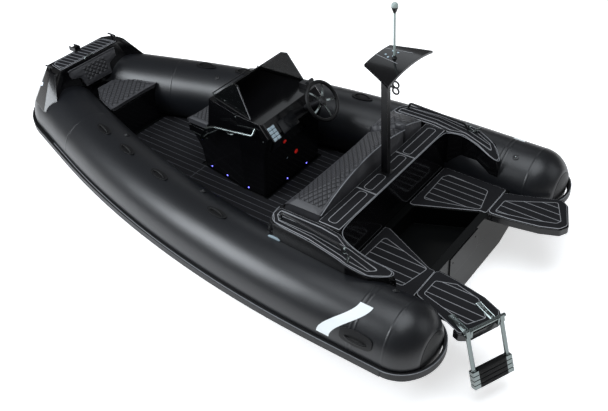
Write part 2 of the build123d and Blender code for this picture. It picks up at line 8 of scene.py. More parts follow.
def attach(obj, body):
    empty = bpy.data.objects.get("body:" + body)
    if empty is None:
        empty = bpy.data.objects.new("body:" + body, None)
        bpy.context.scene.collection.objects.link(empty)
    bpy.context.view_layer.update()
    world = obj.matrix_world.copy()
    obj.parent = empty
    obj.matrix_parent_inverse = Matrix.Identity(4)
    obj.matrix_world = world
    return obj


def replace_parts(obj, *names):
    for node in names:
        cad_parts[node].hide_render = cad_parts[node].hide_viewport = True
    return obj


bl_info = {
    "name": "Inflatable boat",
    "version": (1, 0, 0),
    "blender": (4, 5, 0),
    "location": "View3D > Sidebar > Boat",
    "description": "Dresses the packed rigid inflatable boat: tubes, mats, cushions, fittings and finishes",
    "category": "Object",
}

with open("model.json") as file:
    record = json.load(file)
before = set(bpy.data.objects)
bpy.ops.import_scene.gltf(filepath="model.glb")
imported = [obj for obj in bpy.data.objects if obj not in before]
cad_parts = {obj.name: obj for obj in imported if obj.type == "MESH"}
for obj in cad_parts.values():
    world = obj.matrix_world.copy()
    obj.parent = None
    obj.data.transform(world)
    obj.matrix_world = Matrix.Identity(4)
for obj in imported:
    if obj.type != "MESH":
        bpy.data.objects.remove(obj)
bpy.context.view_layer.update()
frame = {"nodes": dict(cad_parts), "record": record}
nodes = frame["nodes"]

# The tubes' run in plan is straight, long bend, straight, tight bow bend. All sizes are in metres.
TUBE_R, TUBE_Y, TUBE_Z = 0.265, 0.955, 0.426
TUBE_X0, TUBE_X1 = 0.320, 0.800
HEADING = radians(18)
BOW_R, BOW_CX = 0.360, 4.000
CONE_L, CONE_R = 0.235, 0.150
P3 = Vector((BOW_CX + BOW_R * sin(HEADING), BOW_R * cos(HEADING)))
SHEER_R = ((TUBE_Y - P3.y - tan(HEADING) * (P3.x - TUBE_X1))
           / (1 - cos(HEADING) - tan(HEADING) * sin(HEADING)))
P2 = Vector((TUBE_X1 + SHEER_R * sin(HEADING), TUBE_Y - SHEER_R * (1 - cos(HEADING))))
MAT = 0.006
AFT_Z, SWIM_Z, BEAM_Z, NOSE_Z = 0.460, 0.474, 0.800, 0.840
SIDE_TOP = ((1.465, 0.795), (1.100, 0.800), (0.850, 0.765), (0.560, 0.665))   # x, z of the side decks' top
STRAKE_T, STRAKE_TOP = 0.021, 0.412
WHEEL_R, WHEEL_GRIP = 0.150, 0.0145
HINGE_Z = 0.522
TREAD_PITCH, LADDER_LEN, LADDER_HALF = 0.032, 0.300, 0.130
CON_Y = -0.182
WING_Z, WING_HALF, WING_RISE = 1.728, 0.268, 0.034
HANDS = ((1, "port"), (-1, "starboard"))


def posed(at, degrees, axis):
    """A place with a turn about one axis."""
    return Matrix.Translation(at) @ Matrix.Rotation(radians(degrees), 4, axis)


WHEEL_AT = posed((1.848, -0.315, 0.972), -55, "Y")
LADDER_AT = posed((-0.068, 0.665, HINGE_Z), 155, "Z")
LADDER_DOWN = LADDER_AT @ Matrix.Rotation(radians(-20), 4, "Y")


def tube_y(x):
    """Half-distance between the tube centrelines at station x."""
    if x <= TUBE_X1:
        return TUBE_Y
    if x <= P2.x:
        return TUBE_Y - SHEER_R + sqrt(SHEER_R ** 2 - (x - TUBE_X1) ** 2)
    if x <= P3.x:
        return P3.y + tan(HEADING) * (P3.x - x)
    return sqrt(max(BOW_R ** 2 - (x - BOW_CX) ** 2, 0))


def on_tube(x, degrees, lift, side):
    """Point on a tube at station x, degrees up from its outermost line, lift above the fabric."""
    a, r = radians(degrees), TUBE_R + lift
    return Vector((x, side * (tube_y(x) + r * cos(a)), TUBE_Z + r * sin(a)))


def side_top(x):
    """Height of the side decks' top at station x."""
    for (xa, za), (xb, zb) in zip(SIDE_TOP, SIDE_TOP[1:]):
        if x >= xb:
            return zb + (za - zb) * (x - xb) / (xa - xb)
    return SIDE_TOP[-1][1]


# Sizes and colours that a user would change
def colour_of(name, description, default):
    return bpy.props.StringProperty(name=name, description=description, default=default)


def length_of(name, description, default, low, high):
    return bpy.props.FloatProperty(name=name, description=description, default=default,
                                   min=low, max=high, unit="LENGTH")


class BoatColours(PropertyGroup):
    tube_fabric: colour_of("Tubes", "Coated tube fabric", "#0d0e11")
    gelcoat: colour_of("Gelcoat", "Polished mouldings", "#050506")
    foam: colour_of("Deck foam", "Brushed foam decking", "#0e0e10")
    foam_line: colour_of("Deck line", "Pale layer seen in the cuts of the decking", "#8c8d90")
    vinyl: colour_of("Vinyl", "Quilted upholstery", "#303033")
    stripe: colour_of("Stripe", "Plain stripe on the tubes", "#d3dadb")


class BoatSizes(PropertyGroup):
    plank: length_of("Plank", "Spacing of the deck lines", 0.066, 0.03, 0.15)
    line: length_of("Line", "Width of the deck lines", 0.0048, 0.002, 0.02)
    diamond: length_of("Diamond", "Pitch of the quilting", 0.040, 0.02, 0.2)
    rise: length_of("Rise", "How far a cushion's skin may swell", 0.012, 0.0, 0.03)


# Small helpers
def leave():
    """Back to object mode."""
    bpy.ops.object.mode_set(mode="OBJECT")


def clear():
    if bpy.context.object and bpy.context.object.mode != "OBJECT":
        leave()
    bpy.ops.object.select_all(action="DESELECT")


def only(obj):
    clear()
    obj.select_set(True)
    bpy.context.view_layer.objects.active = obj


def grown(operator, **settings):
    """The new object that an add operator makes."""
    clear()
    operator(**settings)
    return bpy.context.object


def edit(obj, what="VERT", everything=False):
    only(obj)
    bpy.ops.object.mode_set(mode="EDIT")
    bpy.ops.mesh.select_mode(type=what)
    if everything:
        bpy.ops.mesh.select_all(action="SELECT")


def modify(obj, kind, **settings):
    """Adds a modifier, sets it and applies it."""
    only(obj)
    mod = obj.modifiers.new(kind.title(), kind)
    for key, value in settings.items():
        setattr(mod, key, value)
    bpy.ops.object.modifier_apply(modifier=mod.name)
    return obj


def place(obj, name, finish, slot="stainless", body="boat", smooth=35, at=None):
    """Names the piece, bakes its place into its mesh, paints it and lets it ride.

    finish is a key of finishes(), a material of the piece's own, or None where it is painted already.
    """
    only(obj)
    if at:
        obj.matrix_world = at @ obj.matrix_world
    bpy.ops.object.transform_apply()
    if smooth:
        bpy.ops.object.shade_smooth_by_angle(angle=radians(smooth))
    obj.name = name
    obj.data.name = name
    if finish:
        obj.data.materials.clear()
        obj.data.materials.append(finishes()[finish] if isinstance(finish, str) else finish)
    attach(obj, body)
    return obj


def copy_node(name):
    """A merged copy of a CAD node's mesh, as a new object."""
    clear()
    obj = nodes[name].copy()
    obj.data = nodes[name].data.copy()
    obj.parent = None
    for key in list(obj.keys()):
        del obj[key]
    obj.data.materials.clear()
    bpy.context.scene.collection.objects.link(obj)
    edit(obj, everything=True)
    bpy.ops.mesh.remove_doubles(threshold=0.00005)
    leave()
    return obj


def join(parts):
    clear()
    for part in parts:
        part.select_set(True)
    bpy.context.view_layer.objects.active = parts[0]
    bpy.ops.object.join()
    return bpy.context.object


def block(size, at, round_by, steps=2):
    """A box with rounded edges."""
    obj = grown(bpy.ops.mesh.primitive_cube_add, size=1, location=at, scale=size)
    bpy.ops.object.transform_apply()
    return modify(obj, "BEVEL", width=round_by, segments=steps)


def disc(radius, depth, at=(0, 0, 0), axis=(0, 0, 1), round_by=0.001, sides=28):
    """A short round bar about an axis, with rounded rims."""
    obj = grown(bpy.ops.mesh.primitive_cylinder_add, vertices=sides, radius=radius, depth=depth)
    if round_by:
        modify(obj, "BEVEL", width=round_by, segments=2, limit_method="ANGLE")
    turn = Vector(axis).to_track_quat("Z", "Y").to_matrix().to_4x4()
    obj.matrix_world = Matrix.Translation(at) @ turn
    return obj


def piping(points, radius, order=3):
    """A round cord of trim through given points, as a mesh."""
    obj = grown(bpy.ops.curve.primitive_nurbs_path_add)
    spline = obj.data.splines[0]
    obj.data.splines.remove(spline)
    spline = obj.data.splines.new("NURBS")
    spline.points.add(len(points) - 1)
    for point, at in zip(spline.points, points):
        point.co = (*at, 1.0)
    spline.use_endpoint_u = True
    spline.order_u = order
    spline.resolution_u = 6
    obj.data.bevel_depth = radius
    obj.data.bevel_resolution = 2
    obj.data.use_fill_caps = True
    only(obj)
    bpy.ops.object.convert(target="MESH")
    return bpy.context.object


# Materials
def srgb(code):
    """sRGB hex to linear RGBA."""
    parts = [int(code[i:i + 2], 16) / 255 for i in (1, 3, 5)]
    return [c / 12.92 if c <= 0.04045 else ((c + 0.055) / 1.055) ** 2.4 for c in parts] + [1.0]


def add(tree, kind, out=0, **given):
    """Adds a node and returns one output. Settings go by name, inputs as i0, i1 ... or by their name."""
    node = tree.nodes.new("ShaderNode" + kind)
    for key, value in given.items():
        if key[0] == "i" and key[1:].isdigit():
            socket = node.inputs[int(key[1:])]
        elif hasattr(node, key) and not key[0].isupper():
            setattr(node, key, value)
            continue
        else:
            socket = node.inputs[key.replace("_", " ")]
        if isinstance(value, bpy.types.NodeSocket):
            tree.links.new(value, socket)
        else:
            socket.default_value = value
    return node.outputs[out]


def finish(name, colour, roughness, **given):
    """A new Principled material: returns it, its tree, the shader node and object coordinates."""
    mat = bpy.data.materials.new(name)
    mat.use_nodes = True
    node = mat.node_tree.nodes["Principled BSDF"]
    node.inputs["Base Color"].default_value = srgb(colour)
    node.inputs["Roughness"].default_value = roughness
    for key, value in given.items():
        node.inputs[key.replace("_", " ")].default_value = value
    return mat, mat.node_tree, node, add(mat.node_tree, "TexCoord", "Object")


def relief(tree, node, height, depth, edge=0.0):
    """Bump from a height; edge rounds the normals of sharp corners over that many metres."""
    normal = {"Normal": add(tree, "Bevel", samples=4, Radius=edge)} if edge else {}
    bump = add(tree, "Bump", Height=height, Distance=depth, Strength=1.0, **normal)
    tree.links.new(bump, node.inputs["Normal"])


def clouds(tree, node, place, colour, other, size):
    """Slow variation between two shades."""
    noise = add(tree, "TexNoise", Vector=place, Scale=1 / size, Detail=3.0)
    shade = add(tree, "Mix", 2, data_type="RGBA", i0=noise, i6=srgb(colour), i7=srgb(other))
    tree.links.new(shade, node.inputs["Base Color"])


def coated_fabric(colour):
    """Polyurethane-coated tube fabric: matt and near black, its soft glint broken up by a faint weave."""
    mat, tree, node, place = finish("coated_tube_fabric", colour, 0.36, Specular_IOR_Level=0.5)
    clouds(tree, node, place, colour, "#121418", 0.5)
    # threads of 0.5 mm, drawn at 6 mm to show, over a skin that is never quite true
    weave = add(tree, "TexNoise", Vector=place, Scale=170.0, Detail=2.0)
    slack = add(tree, "TexNoise", Vector=place, Scale=3.2, Detail=1.0)
    height = add(tree, "Math", operation="MULTIPLY_ADD", i0=slack, i1=9.0, i2=weave)
    relief(tree, node, height, 0.00035)
    return mat


def gelcoat(colour):
    """Black polyester gelcoat on glass fibre, polished: deep gloss, eased edges that catch the light."""
    mat, tree, node, place = finish("polished_gelcoat", colour, 0.16, Specular_IOR_Level=0.3,
                                    Coat_Weight=0.2, Coat_Roughness=0.06)
    clouds(tree, node, place, colour, "#0a0a0c", 0.4)
    wave = add(tree, "TexNoise", Vector=place, Scale=7.0, Detail=0.0)      # print-through, about 140 mm
    relief(tree, node, wave, 0.0006, 0.006)
    return mat


def deck_foam(name, colour, line, turn=0.0, pitch=0.0, width=0.0, shift=0.0, cross=None):
    """Brushed EVA foam; where pitch is given, lines are cut through to the pale layer beneath."""
    mat, tree, node, place = finish(name, colour, 0.75, Specular_IOR_Level=0.16)
    where = add(tree, "Mapping", Vector=place, Rotation=(0, 0, turn))
    grain = add(tree, "Mapping", Vector=where, Scale=(12, 260, 60))        # brush marks of 4 mm
    brushed = add(tree, "TexNoise", Vector=grain, Scale=1.0, Detail=2.0)
    foam = add(tree, "Mix", 2, data_type="RGBA", i0=brushed, i6=srgb(colour), i7=srgb("#1b1b1e"))
    height = add(tree, "Math", operation="MULTIPLY", i0=brushed, i1=0.25)
    if pitch:
        along, beside = add(tree, "SeparateXYZ", i0=where).node.outputs[:2]
        across = add(tree, "Math", operation="MULTIPLY_ADD", i0=beside, i1=1 / pitch, i2=shift)
        saw = add(tree, "Math", operation="FRACT", i0=across)
        cut = add(tree, "Math", operation="LESS_THAN", i0=saw, i1=width / pitch)
        if cross is not None:
            near = add(tree, "Math", operation="COMPARE", i0=along, i1=cross, i2=width / 2)
            cut = add(tree, "Math", operation="MAXIMUM", i0=cut, i1=near)
        foam = add(tree, "Mix", 2, data_type="RGBA", i0=cut, i6=foam, i7=srgb(line))
        height = add(tree, "Math", operation="SUBTRACT", i0=height, i1=cut)
    tree.links.new(foam, node.inputs["Base Color"])
    relief(tree, node, height, 0.0012)
    return mat


def cut_line(line):
    """The pale lower layer of the foam, seen on bevelled edges and in the cut outline of each panel."""
    mat, tree, node, place = finish("cut_foam_line", line, 0.7)
    clouds(tree, node, place, line, "#8b8c8f", 0.05)
    relief(tree, node, add(tree, "TexNoise", Vector=place, Scale=400.0), 0.0002)
    return mat


def quilted_vinyl(name, colour, pitch, window, axes):
    """Marine vinyl, machine-quilted in diamonds inside a window (low a, low b, high a, high b), with painted
    shade along the seams.
    """
    long, seam_half, depth = 1.3, 0.08, 0.013        # the first two as shares of the pitch
    mat, tree, node, place = finish(name, colour, 0.5, Specular_IOR_Level=0.42)
    split = add(tree, "SeparateXYZ", i0=place).node.outputs
    a, b = split[axes[0]], split[axes[1]]
    v = add(tree, "Math", operation="DIVIDE", i0=b, i1=pitch * long)
    ridges = []
    for sign in (1, -1):
        u = add(tree, "Math", operation="MULTIPLY_ADD", i0=a, i1=sign / pitch, i2=v)
        ridges.append(add(tree, "Math", operation="PINGPONG", i0=u, i1=0.5))
    # 0 on a seam, 0.5 in the middle of a diamond
    near = add(tree, "Math", operation="MINIMUM", i0=ridges[0], i1=ridges[1])
    within = [add(tree, "Math", operation="COMPARE", i0=axis, i1=(low + high) / 2, i2=(high - low) / 2)
              for axis, low, high in ((a, *window[::2]), (b, *window[1::2]))]
    inside = add(tree, "Math", operation="MULTIPLY", i0=within[0], i1=within[1])
    seam = add(tree, "Math", operation="LESS_THAN", i0=near, i1=seam_half)
    seam = add(tree, "Math", operation="MULTIPLY", i0=seam, i1=inside)
    puff = add(tree, "Math", operation="POWER", i0=near, i1=0.6)
    puff = add(tree, "Math", operation="MULTIPLY", i0=puff, i1=inside)
    pores = add(tree, "TexNoise", Vector=place, Scale=260.0, Detail=2.0)
    height = add(tree, "Math", operation="MULTIPLY_ADD", i0=pores, i1=0.05, i2=puff)
    relief(tree, node, height, depth)
    skin = add(tree, "Mix", 2, data_type="RGBA", i0=pores, i6=srgb(colour), i7=srgb("#3a3a3d"))
    # the seams are painted near black: painted shade in the quilting's creases
    shade = add(tree, "Mix", 2, data_type="RGBA", i0=seam, i6=skin, i7=srgb("#0e0e10"))
    tree.links.new(shade, node.inputs["Base Color"])
    return mat


def plain(name, colour, roughness, other, size, depth, edge=0.0, **given):
    """A moulded, drawn or coated finish: two close shades and a grain of the given size."""
    mat, tree, node, place = finish(name, colour, roughness, **given)
    clouds(tree, node, place, colour, other, size * 20)
    relief(tree, node, add(tree, "TexNoise", Vector=place, Scale=1 / size, Detail=2.0), depth, edge)
    return mat


def banded(name, bands, roughness):
    """A finish whose colour changes with height: rows of (height it starts at, colour)."""
    mat, tree, node, place = finish(name, bands[0][1], roughness)
    height = add(tree, "SeparateXYZ", 2, i0=place)
    shade = srgb(bands[0][1])
    for start, colour in bands[1:]:
        above = add(tree, "Math", operation="GREATER_THAN", i0=height, i1=start)
        shade = add(tree, "Mix", 2, data_type="RGBA", i0=above, i6=shade, i7=srgb(colour))
    tree.links.new(shade, node.inputs["Base Color"])
    relief(tree, node, add(tree, "TexNoise", Vector=place, Scale=300.0), 0.0001)
    return mat


made = {}


def finishes():
    """All the boat's materials, made once."""
    if made:
        return made
    c, s = bpy.context.scene.boat_colours, bpy.context.scene.boat_sizes
    made.update(
        tube=coated_fabric(c.tube_fabric),
        gel=gelcoat(c.gelcoat),
        foam=deck_foam("brushed_foam", c.foam, c.foam_line),
        planks=deck_foam("planked_foam", c.foam, c.foam_line, 0.0, s.plank, s.line, 0.3),
        planks_side=deck_foam("planked_foam_side", c.foam, c.foam_line, 0.0, s.plank * 0.62, s.line, 0.1),
        planks_nose=deck_foam("planked_foam_nose", c.foam, "#6a6b6f", radians(-8), 0.045, s.line * 1.6),
        planks_floor=deck_foam("planked_foam_floor", "#0d0d0f", "#48494d", 0.0, 0.058, s.line, 0.2,
                               cross=2.78),
        line=cut_line(c.foam_line),
        # EPDM and PVC rubber, extruded and moulded: dull, slightly dusty
        rubber=plain("moulded_rubber", "#070708", 0.5, "#0c0c0e", 0.008, 0.0003, 0.003,
                     Specular_IOR_Level=0.3),
        grip=plain("ribbed_step_rubber", "#040405", 0.5, "#080809", 0.004, 0.0003, 0.002,
                   Specular_IOR_Level=0.25),
        # two-part enamel on welded aluminium, satin
        hull=plain("hull_enamel", "#040505", 0.36, "#070808", 0.2, 0.0004, 0.004, Specular_IOR_Level=0.12),
        # 316 stainless, mirror polished by hand: bright, faint long waves
        steel=plain("polished_stainless", "#858c8b", 0.17, "#6e7675", 0.03, 0.0001, Metallic=1.0),
        # powder coat on aluminium: satin, fine orange peel
        black_metal=plain("satin_powder_coat", "#060608", 0.3, "#0b0b0d", 0.004, 0.0002, 0.004,
                          Specular_IOR_Level=0.35),
        # nylon, injection moulded with a fine spark grain
        plastic=plain("moulded_nylon", "#0e0e10", 0.42, "#151518", 0.005, 0.0003, 0.003),
        smoke=plain("smoked_acrylic", "#08090a", 0.07, "#0b0d0d", 0.2, 0.0002, 0.004, Alpha=0.86),
        white=plain("white_stripe_vinyl", c.stripe, 0.45, "#e6eaec", 0.02, 0.0001),
        # pale grey: trim on the deck edges and the windscreen's edges, and a painted highlight on the strake
        # and along the bench cushions' rear edge
        trim=plain("grey_trim_and_painted_highlight", "#77797d", 0.4, "#66686c", 0.01, 0.0001),
        key=plain("backlit_switch_cap", "#a9b9c2", 0.4, "#93a6b0", 0.004, 0.0001),
        # the red caps glow faintly though they hold no lamp: painted light that brightens them
        red=plain("red_nylon_painted_glow", "#e32a22", 0.4, "#c81c18", 0.004, 0.0001,
                  Emission_Color=srgb("#e32a22"), Emission_Strength=0.2),
        dial=plain("instrument_glass", "#08090b", 0.25, "#0c0d10", 0.05, 0.0001, Specular_IOR_Level=0.25),
        lens=plain("frosted_lens", "#d5e2ea", 0.3, "#bccbd6", 0.004, 0.0001,
                   Emission_Color=srgb("#cfe0ee"), Emission_Strength=0.5),
        led=plain("blue_led", "#7f86ff", 0.3, "#6a70ff", 0.004, 0.0001,
                  Emission_Color=srgb("#6d6cff"), Emission_Strength=4.0),
        # anodised tube, nylon collar and opal globe on one stem
        beacon=banded("beacon_stem", ((1.6, "#93a29f"), (2.04, "#151517"), (2.078, "#8f9c99")), 0.35),
    )
    return made


# Deck mats: outlines in plan, moved inward and rounded before a panel is raised on them
def corners(points):
    """Each corner with its unit directions to the corner before and to the one after."""
    flat = [Vector(p) for p in points]
    for before, here, after in zip(flat[-1:] + flat[:-1], flat, flat[1:] + flat[:1]):
        yield here, (before - here).normalized(), (after - here).normalized()


def inset(points, by):
    """The outline moved inward by a distance."""
    area = sum(a[0] * b[1] - b[0] * a[1] for a, b in zip(points, points[1:] + points[:1]))
    side = 1 if area > 0 else -1
    out = []
    for here, back, ahead in corners(points):
        inward = [Vector((-d.y, d.x)) * side for d in (-back, ahead)]
        middle = (inward[0] + inward[1]).normalized()
        out.append(here + middle * by / max(middle.dot(inward[0]), 0.3))
    return out


def rounded(points, radius, steps=6):
    """The outline with round corners, each with the same number of points."""
    out = []
    flat = [Vector(p) for p in points]
    for i, (here, back, ahead) in enumerate(corners(points)):
        reach = min((flat[i - 1] - here).length, (flat[(i + 1) % len(flat)] - here).length) * 0.48
        half = back.angle(ahead) / 2
        run = min(radius / tan(half), reach) if half < 1.5 else reach * 0.1
        start, end = here + back * run, here + ahead * run
        for k in range(steps + 1):
            t = k / steps
            out.append(start * (1 - t) ** 2 + here * 2 * t * (1 - t) + end * t ** 2)
    return out


def panel(name, outline, corner, top, fill, rim=0.004, drop=0.0025, thick=MAT, cuts=()):
    """A panel raised on an outline: wall, pale rim that drops outward, and a filled middle.

    top is the height of its upper face, or a function of x; cuts are the stations where such a top bends.
    """
    m = finishes()
    levels = [(rounded(outline, corner), -thick), (rounded(outline, corner), -drop),
              (rounded(inset(outline, rim), max(corner - rim, 0.002)), 0.0)]
    obj = grown(bpy.ops.mesh.primitive_circle_add, vertices=len(levels[0][0]), radius=1)
    for vertex, at in zip(obj.data.vertices, levels[0][0]):
        vertex.co = (*at, levels[0][1])
    for mat in (m[fill], m["line"]):
        obj.data.materials.append(mat)
    for (before, low), (after, high) in zip(levels, levels[1:]):
        edit(obj, "EDGE")
        bpy.ops.mesh.extrude_edges_move()
        leave()
        for vertex in [v for v in obj.data.vertices if v.select]:
            here = vertex.co.to_2d()
            i = min(range(len(before)), key=lambda k: (before[k] - here).length_squared)
            vertex.co = (*after[i], high)
    rims = len(obj.data.polygons)
    edit(obj, "EDGE")
    bpy.ops.mesh.edge_face_add()
    leave()
    for face in obj.data.polygons:
        pale = face.index < rims and all(obj.data.vertices[i].co.z > -drop - 1e-6 for i in face.vertices)
        face.material_index = int(pale)
    for x in cuts:
        edit(obj, everything=True)
        bpy.ops.mesh.bisect(plane_co=(x, 0, 0), plane_no=(1, 0, 0))
    edit(obj, everything=True)
    bpy.ops.mesh.fill_holes(sides=0)
    bpy.ops.mesh.normals_make_consistent(inside=False)
    leave()
    for vertex in obj.data.vertices:
        vertex.co.z += top(vertex.co.x) if callable(top) else top
    return place(obj, name, None, "deck_foam", smooth=0)


def mirrored(outline):
    return [(x, -y) for x, y in reversed(outline)]


TURNS = (("port", list), ("starboard", mirrored))


# Operators, one for each piece or group of like pieces, each after the functions that it uses
class PaintMouldings(Operator):
    """Gives the carried-over solids their finishes"""
    bl_idname = "boat.paint_mouldings"
    bl_label = "Paint the mouldings"

    def execute(self, context):
        by_slot = dict(tube_fabric="tube", gloss_black="gel", deck_foam="foam", stainless="steel",
                       dark_rubber="rubber", tinted="smoke", black_metal="black_metal",
                       matt_black="plastic", upholstery="plastic")
        by_node = dict(mat_floor="planks_floor", light_pole="beacon", hull="hull", aft_deck="hull",
                       side_rails="black_metal", tow_hook="black_metal", bow_fittings="black_metal")
        for part in frame["record"]["subparts"]:
            mesh = nodes[part["node"]].data
            mesh.materials.clear()
            mesh.materials.append(finishes()[by_node.get(part["node"], by_slot[part["material_slot"]])])
        return {"FINISHED"}


class MakeTubes(Operator):
    """The buoyancy tubes and stern cones as one smooth skin"""
    bl_idname = "boat.make_tubes"
    bl_label = "Tubes"

    def execute(self, context):
        steps, low = 12, asin(CONE_R / TUBE_R)
        turns = [low + (pi / 2 - low) * i / steps for i in range(steps + 1)]
        rings = [(TUBE_X0 - CONE_L * cos(a), TUBE_R * sin(a)) for a in turns]
        obj = grown(bpy.ops.mesh.primitive_circle_add, vertices=72, radius=rings[0][1],
                    location=(rings[0][0], -TUBE_Y, TUBE_Z), rotation=(0, pi / 2, 0))
        bpy.ops.object.transform_apply()
        edit(obj, everything=True)

        def cone(side, order):
            for (x0, r0), (x1, r1) in zip(order, order[1:]):
                bpy.ops.mesh.extrude_region_move(TRANSFORM_OT_translate={"value": (x1 - x0, 0, 0)})
                bpy.ops.transform.resize(value=(1, r1 / r0, r1 / r0),
                                         center_override=(x1, side * TUBE_Y, TUBE_Z))

        def push(length, heading, count):
            step = (length / count * cos(heading), length / count * sin(heading), 0)
            for _ in range(count):
                bpy.ops.mesh.extrude_region_move(TRANSFORM_OT_translate={"value": step})

        def bend(count, angle, x, y):
            bpy.ops.mesh.spin(steps=count, angle=angle, center=(x, y, TUBE_Z), axis=(0, 0, -1))

        straight, run = TUBE_X1 - TUBE_X0, (P3 - P2).length
        cone(-1, rings)
        push(straight, 0, 4)
        bend(28, HEADING, TUBE_X1, SHEER_R - TUBE_Y)
        push(run, HEADING, 5)
        bend(36, pi - 2 * HEADING, BOW_CX, 0)
        push(run, pi - HEADING, 5)
        bend(28, HEADING, TUBE_X1, TUBE_Y - SHEER_R)
        push(straight, pi, 4)
        cone(1, rings[::-1])
        bpy.ops.mesh.select_all(action="SELECT")
        bpy.ops.mesh.remove_doubles(threshold=0.0002)
        bpy.ops.mesh.fill_holes(sides=0)
        bpy.ops.mesh.select_all(action="SELECT")
        bpy.ops.mesh.normals_make_consistent(inside=False)
        place(obj, "tube_skin", "tube", "tube_fabric", smooth=40)
        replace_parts(obj, "tube_port", "tube_starboard", "tube_bow", "cone_port", "cone_starboard")
        return {"FINISHED"}


def wrapped(name, span, centre, half, grid, lift, thick, finish, slot, side):
    """A patch bent round a tube: over a span of degrees, half(s) to either side of the station centre(s)."""
    obj = grown(bpy.ops.mesh.primitive_grid_add, x_subdivisions=grid[0], y_subdivisions=grid[1], size=2)
    for vertex in obj.data.vertices:
        s = (vertex.co.y + 1) / 2
        x = centre(s) + half(s) * vertex.co.x
        vertex.co = on_tube(x, span[0] + (span[1] - span[0]) * s, lift, side)
    edit(obj, everything=True)
    bpy.ops.mesh.remove_doubles(threshold=0.0002)
    bpy.ops.mesh.normals_make_consistent(inside=False)
    leave()
    face = obj.data.polygons[0]
    away = face.center - Vector((face.center.x, side * tube_y(face.center.x), TUBE_Z))
    if face.normal.dot(away) < 0:
        obj.data.flip_normals()
    modify(obj, "SOLIDIFY", thickness=thick, offset=-1.0)
    place(obj, name, finish, slot, smooth=40)


def carrying_handle(side, hand):
    """Oval rubber carrying pad with a raised hand loop, low on the outer side."""
    def half(s):
        return 0.118 * sqrt(max(1 - (2 * s - 1) ** 4, 0))

    wrapped(f"handle_pad_{hand}", (12.0, 34.0), lambda s: 0.518, half, (14, 14), 0.007, 0.006,
            "rubber", "dark_rubber", side)
    shape = ((0.440, 0.004), (0.455, 0.016), (0.480, 0.024), (0.518, 0.026), (0.556, 0.024),
             (0.581, 0.016), (0.596, 0.004))
    loop = [on_tube(x, 20.5, lift, side) for x, lift in shape]
    place(piping(loop, 0.007), f"handle_loop_{hand}", "grip", "dark_rubber")


def seam_tapes(side, hand):
    """Tapes over the tube's seams, the last where its long bend ends."""
    for index, x in enumerate((TUBE_X0 + 0.004, 0.545, 0.575, P2.x)):
        band = grown(bpy.ops.mesh.primitive_torus_add, major_radius=TUBE_R - 0.0005, minor_radius=0.0016,
                     major_segments=72, minor_segments=8)
        band.scale = (1, 1, 7)
        lean = -side * HEADING if x >= P2.x else 0
        turn = Matrix.Rotation(lean, 4, "Z") @ Matrix.Rotation(pi / 2, 4, "Y")
        at = Matrix.Translation((x, side * tube_y(x), TUBE_Z)) @ turn
        place(band, f"seam_tape_{hand}_{index}", "tube", "tube_fabric", smooth=60, at=at)


def inflation_valves(side, hand):
    """Recessed inflation valves on the inner shoulder of the tube."""
    angle = 116
    for index, x in enumerate((0.464, 2.15, 3.15)):
        base, cup, tip = [on_tube(x, angle, lift, side) for lift in (0.002, 0.004, 0.013)]
        out = (on_tube(x, angle, 0.01, side) - on_tube(x, angle, 0, side)).normalized()
        valve = join([disc(0.023, 0.010, base, out, 0.003), disc(0.011, 0.016, cup, out, 0.002)])
        place(valve, f"valve_{hand}_{index}", "plastic", "matt_black")
        place(disc(0.0045, 0.006, tip, out), f"valve_stem_{hand}_{index}", "steel")


def grab_loops(side, hand):
    """Raised grab loops over the lens-shaped patches on top of the tube."""
    shape = ((-0.066, 0.008), (-0.052, 0.020), (-0.028, 0.031), (0.0, 0.034), (0.028, 0.031),
             (0.052, 0.020), (0.066, 0.008))
    for index, x in enumerate((1.880, 2.530, 2.970, 3.330)):
        loop = [on_tube(x + dx, 89, lift, side) for dx, lift in shape]
        place(piping(loop, 0.0065), f"grab_loop_{hand}_{index}", "grip", "dark_rubber")


def strake_painted_highlight(side, hand):
    """A pale cord on top of the rubbing strake, round the stern cone and along the tube: a painted highlight.
    """
    turns = [radians(d) for d in range(165, 0, -12)]
    stern = [(TUBE_X0 - (CONE_L + STRAKE_T) * sin(a), side * (TUBE_Y + (TUBE_R + STRAKE_T) * cos(a)))
             for a in turns]
    rim = [on_tube(TUBE_X0 + (3.9 - TUBE_X0) * i / 40, 0, 0, side) for i in range(41)]
    line = stern + [(p.x, p.y + side * STRAKE_T) for p in rim]
    place(piping([(x, y, STRAKE_TOP) for x, y in line], 0.0035), f"strake_painted_highlight_{hand}", "trim",
          "dark_rubber")


class TrimTubes(Operator):
    """Seam tapes, plain stripes, valves, grab handles and a painted highlight along the top of the strake"""
    bl_idname = "boat.trim_tubes"
    bl_label = "Tube trim"

    def execute(self, context):
        for side, hand in HANDS:
            wrapped(f"stripe_{hand}", (6.5, 70.5), lambda s: 0.757 - 0.22 * s * s * (3 - 2 * s),
                    lambda s: 0.047, (4, 32), 0.0012, 0.001, "white", "tube_fabric", side)
            carrying_handle(side, hand)
            seam_tapes(side, hand)
            inflation_valves(side, hand)
            grab_loops(side, hand)
            strake_painted_highlight(side, hand)
        return {"FINISHED"}


def inlay(name, outline, corner, deck, fill, cuts=()):
    """The cut outline of a mat and what it encloses, a hair above the mat."""
    top = (lambda x: deck(x) + MAT + 0.0008) if callable(deck) else deck + MAT + 0.0008
    panel(name, outline, corner, top, fill, 0.004, 0.0, 0.001, cuts)


def beam_mats():
    def strip(name, x0, x1, y0, y1, corner):
        inlay(name, [(x0, y0), (x1, y0), (x1, y1), (x0, y1)], corner, BEAM_Z, "foam")

    panel("mat_beam", [(0.989, -0.688), (1.156, -0.688), (1.156, 0.688), (0.989, 0.688)], 0.012,
          BEAM_Z + MAT, "foam")
    slots = ((0.268, 0.655), (0.036, 0.235), (-0.235, -0.036), (-0.655, -0.268))
    for i, (y0, y1) in enumerate(slots):
        strip(f"mat_beam_slot_{i}", 1.040, 1.112, y0, y1, 0.03)
    for i, y in enumerate((0.2515, -0.2515)):
        strip(f"mat_beam_joint_{i}", 0.993, 1.152, y - 0.005, y + 0.005, 0.002)


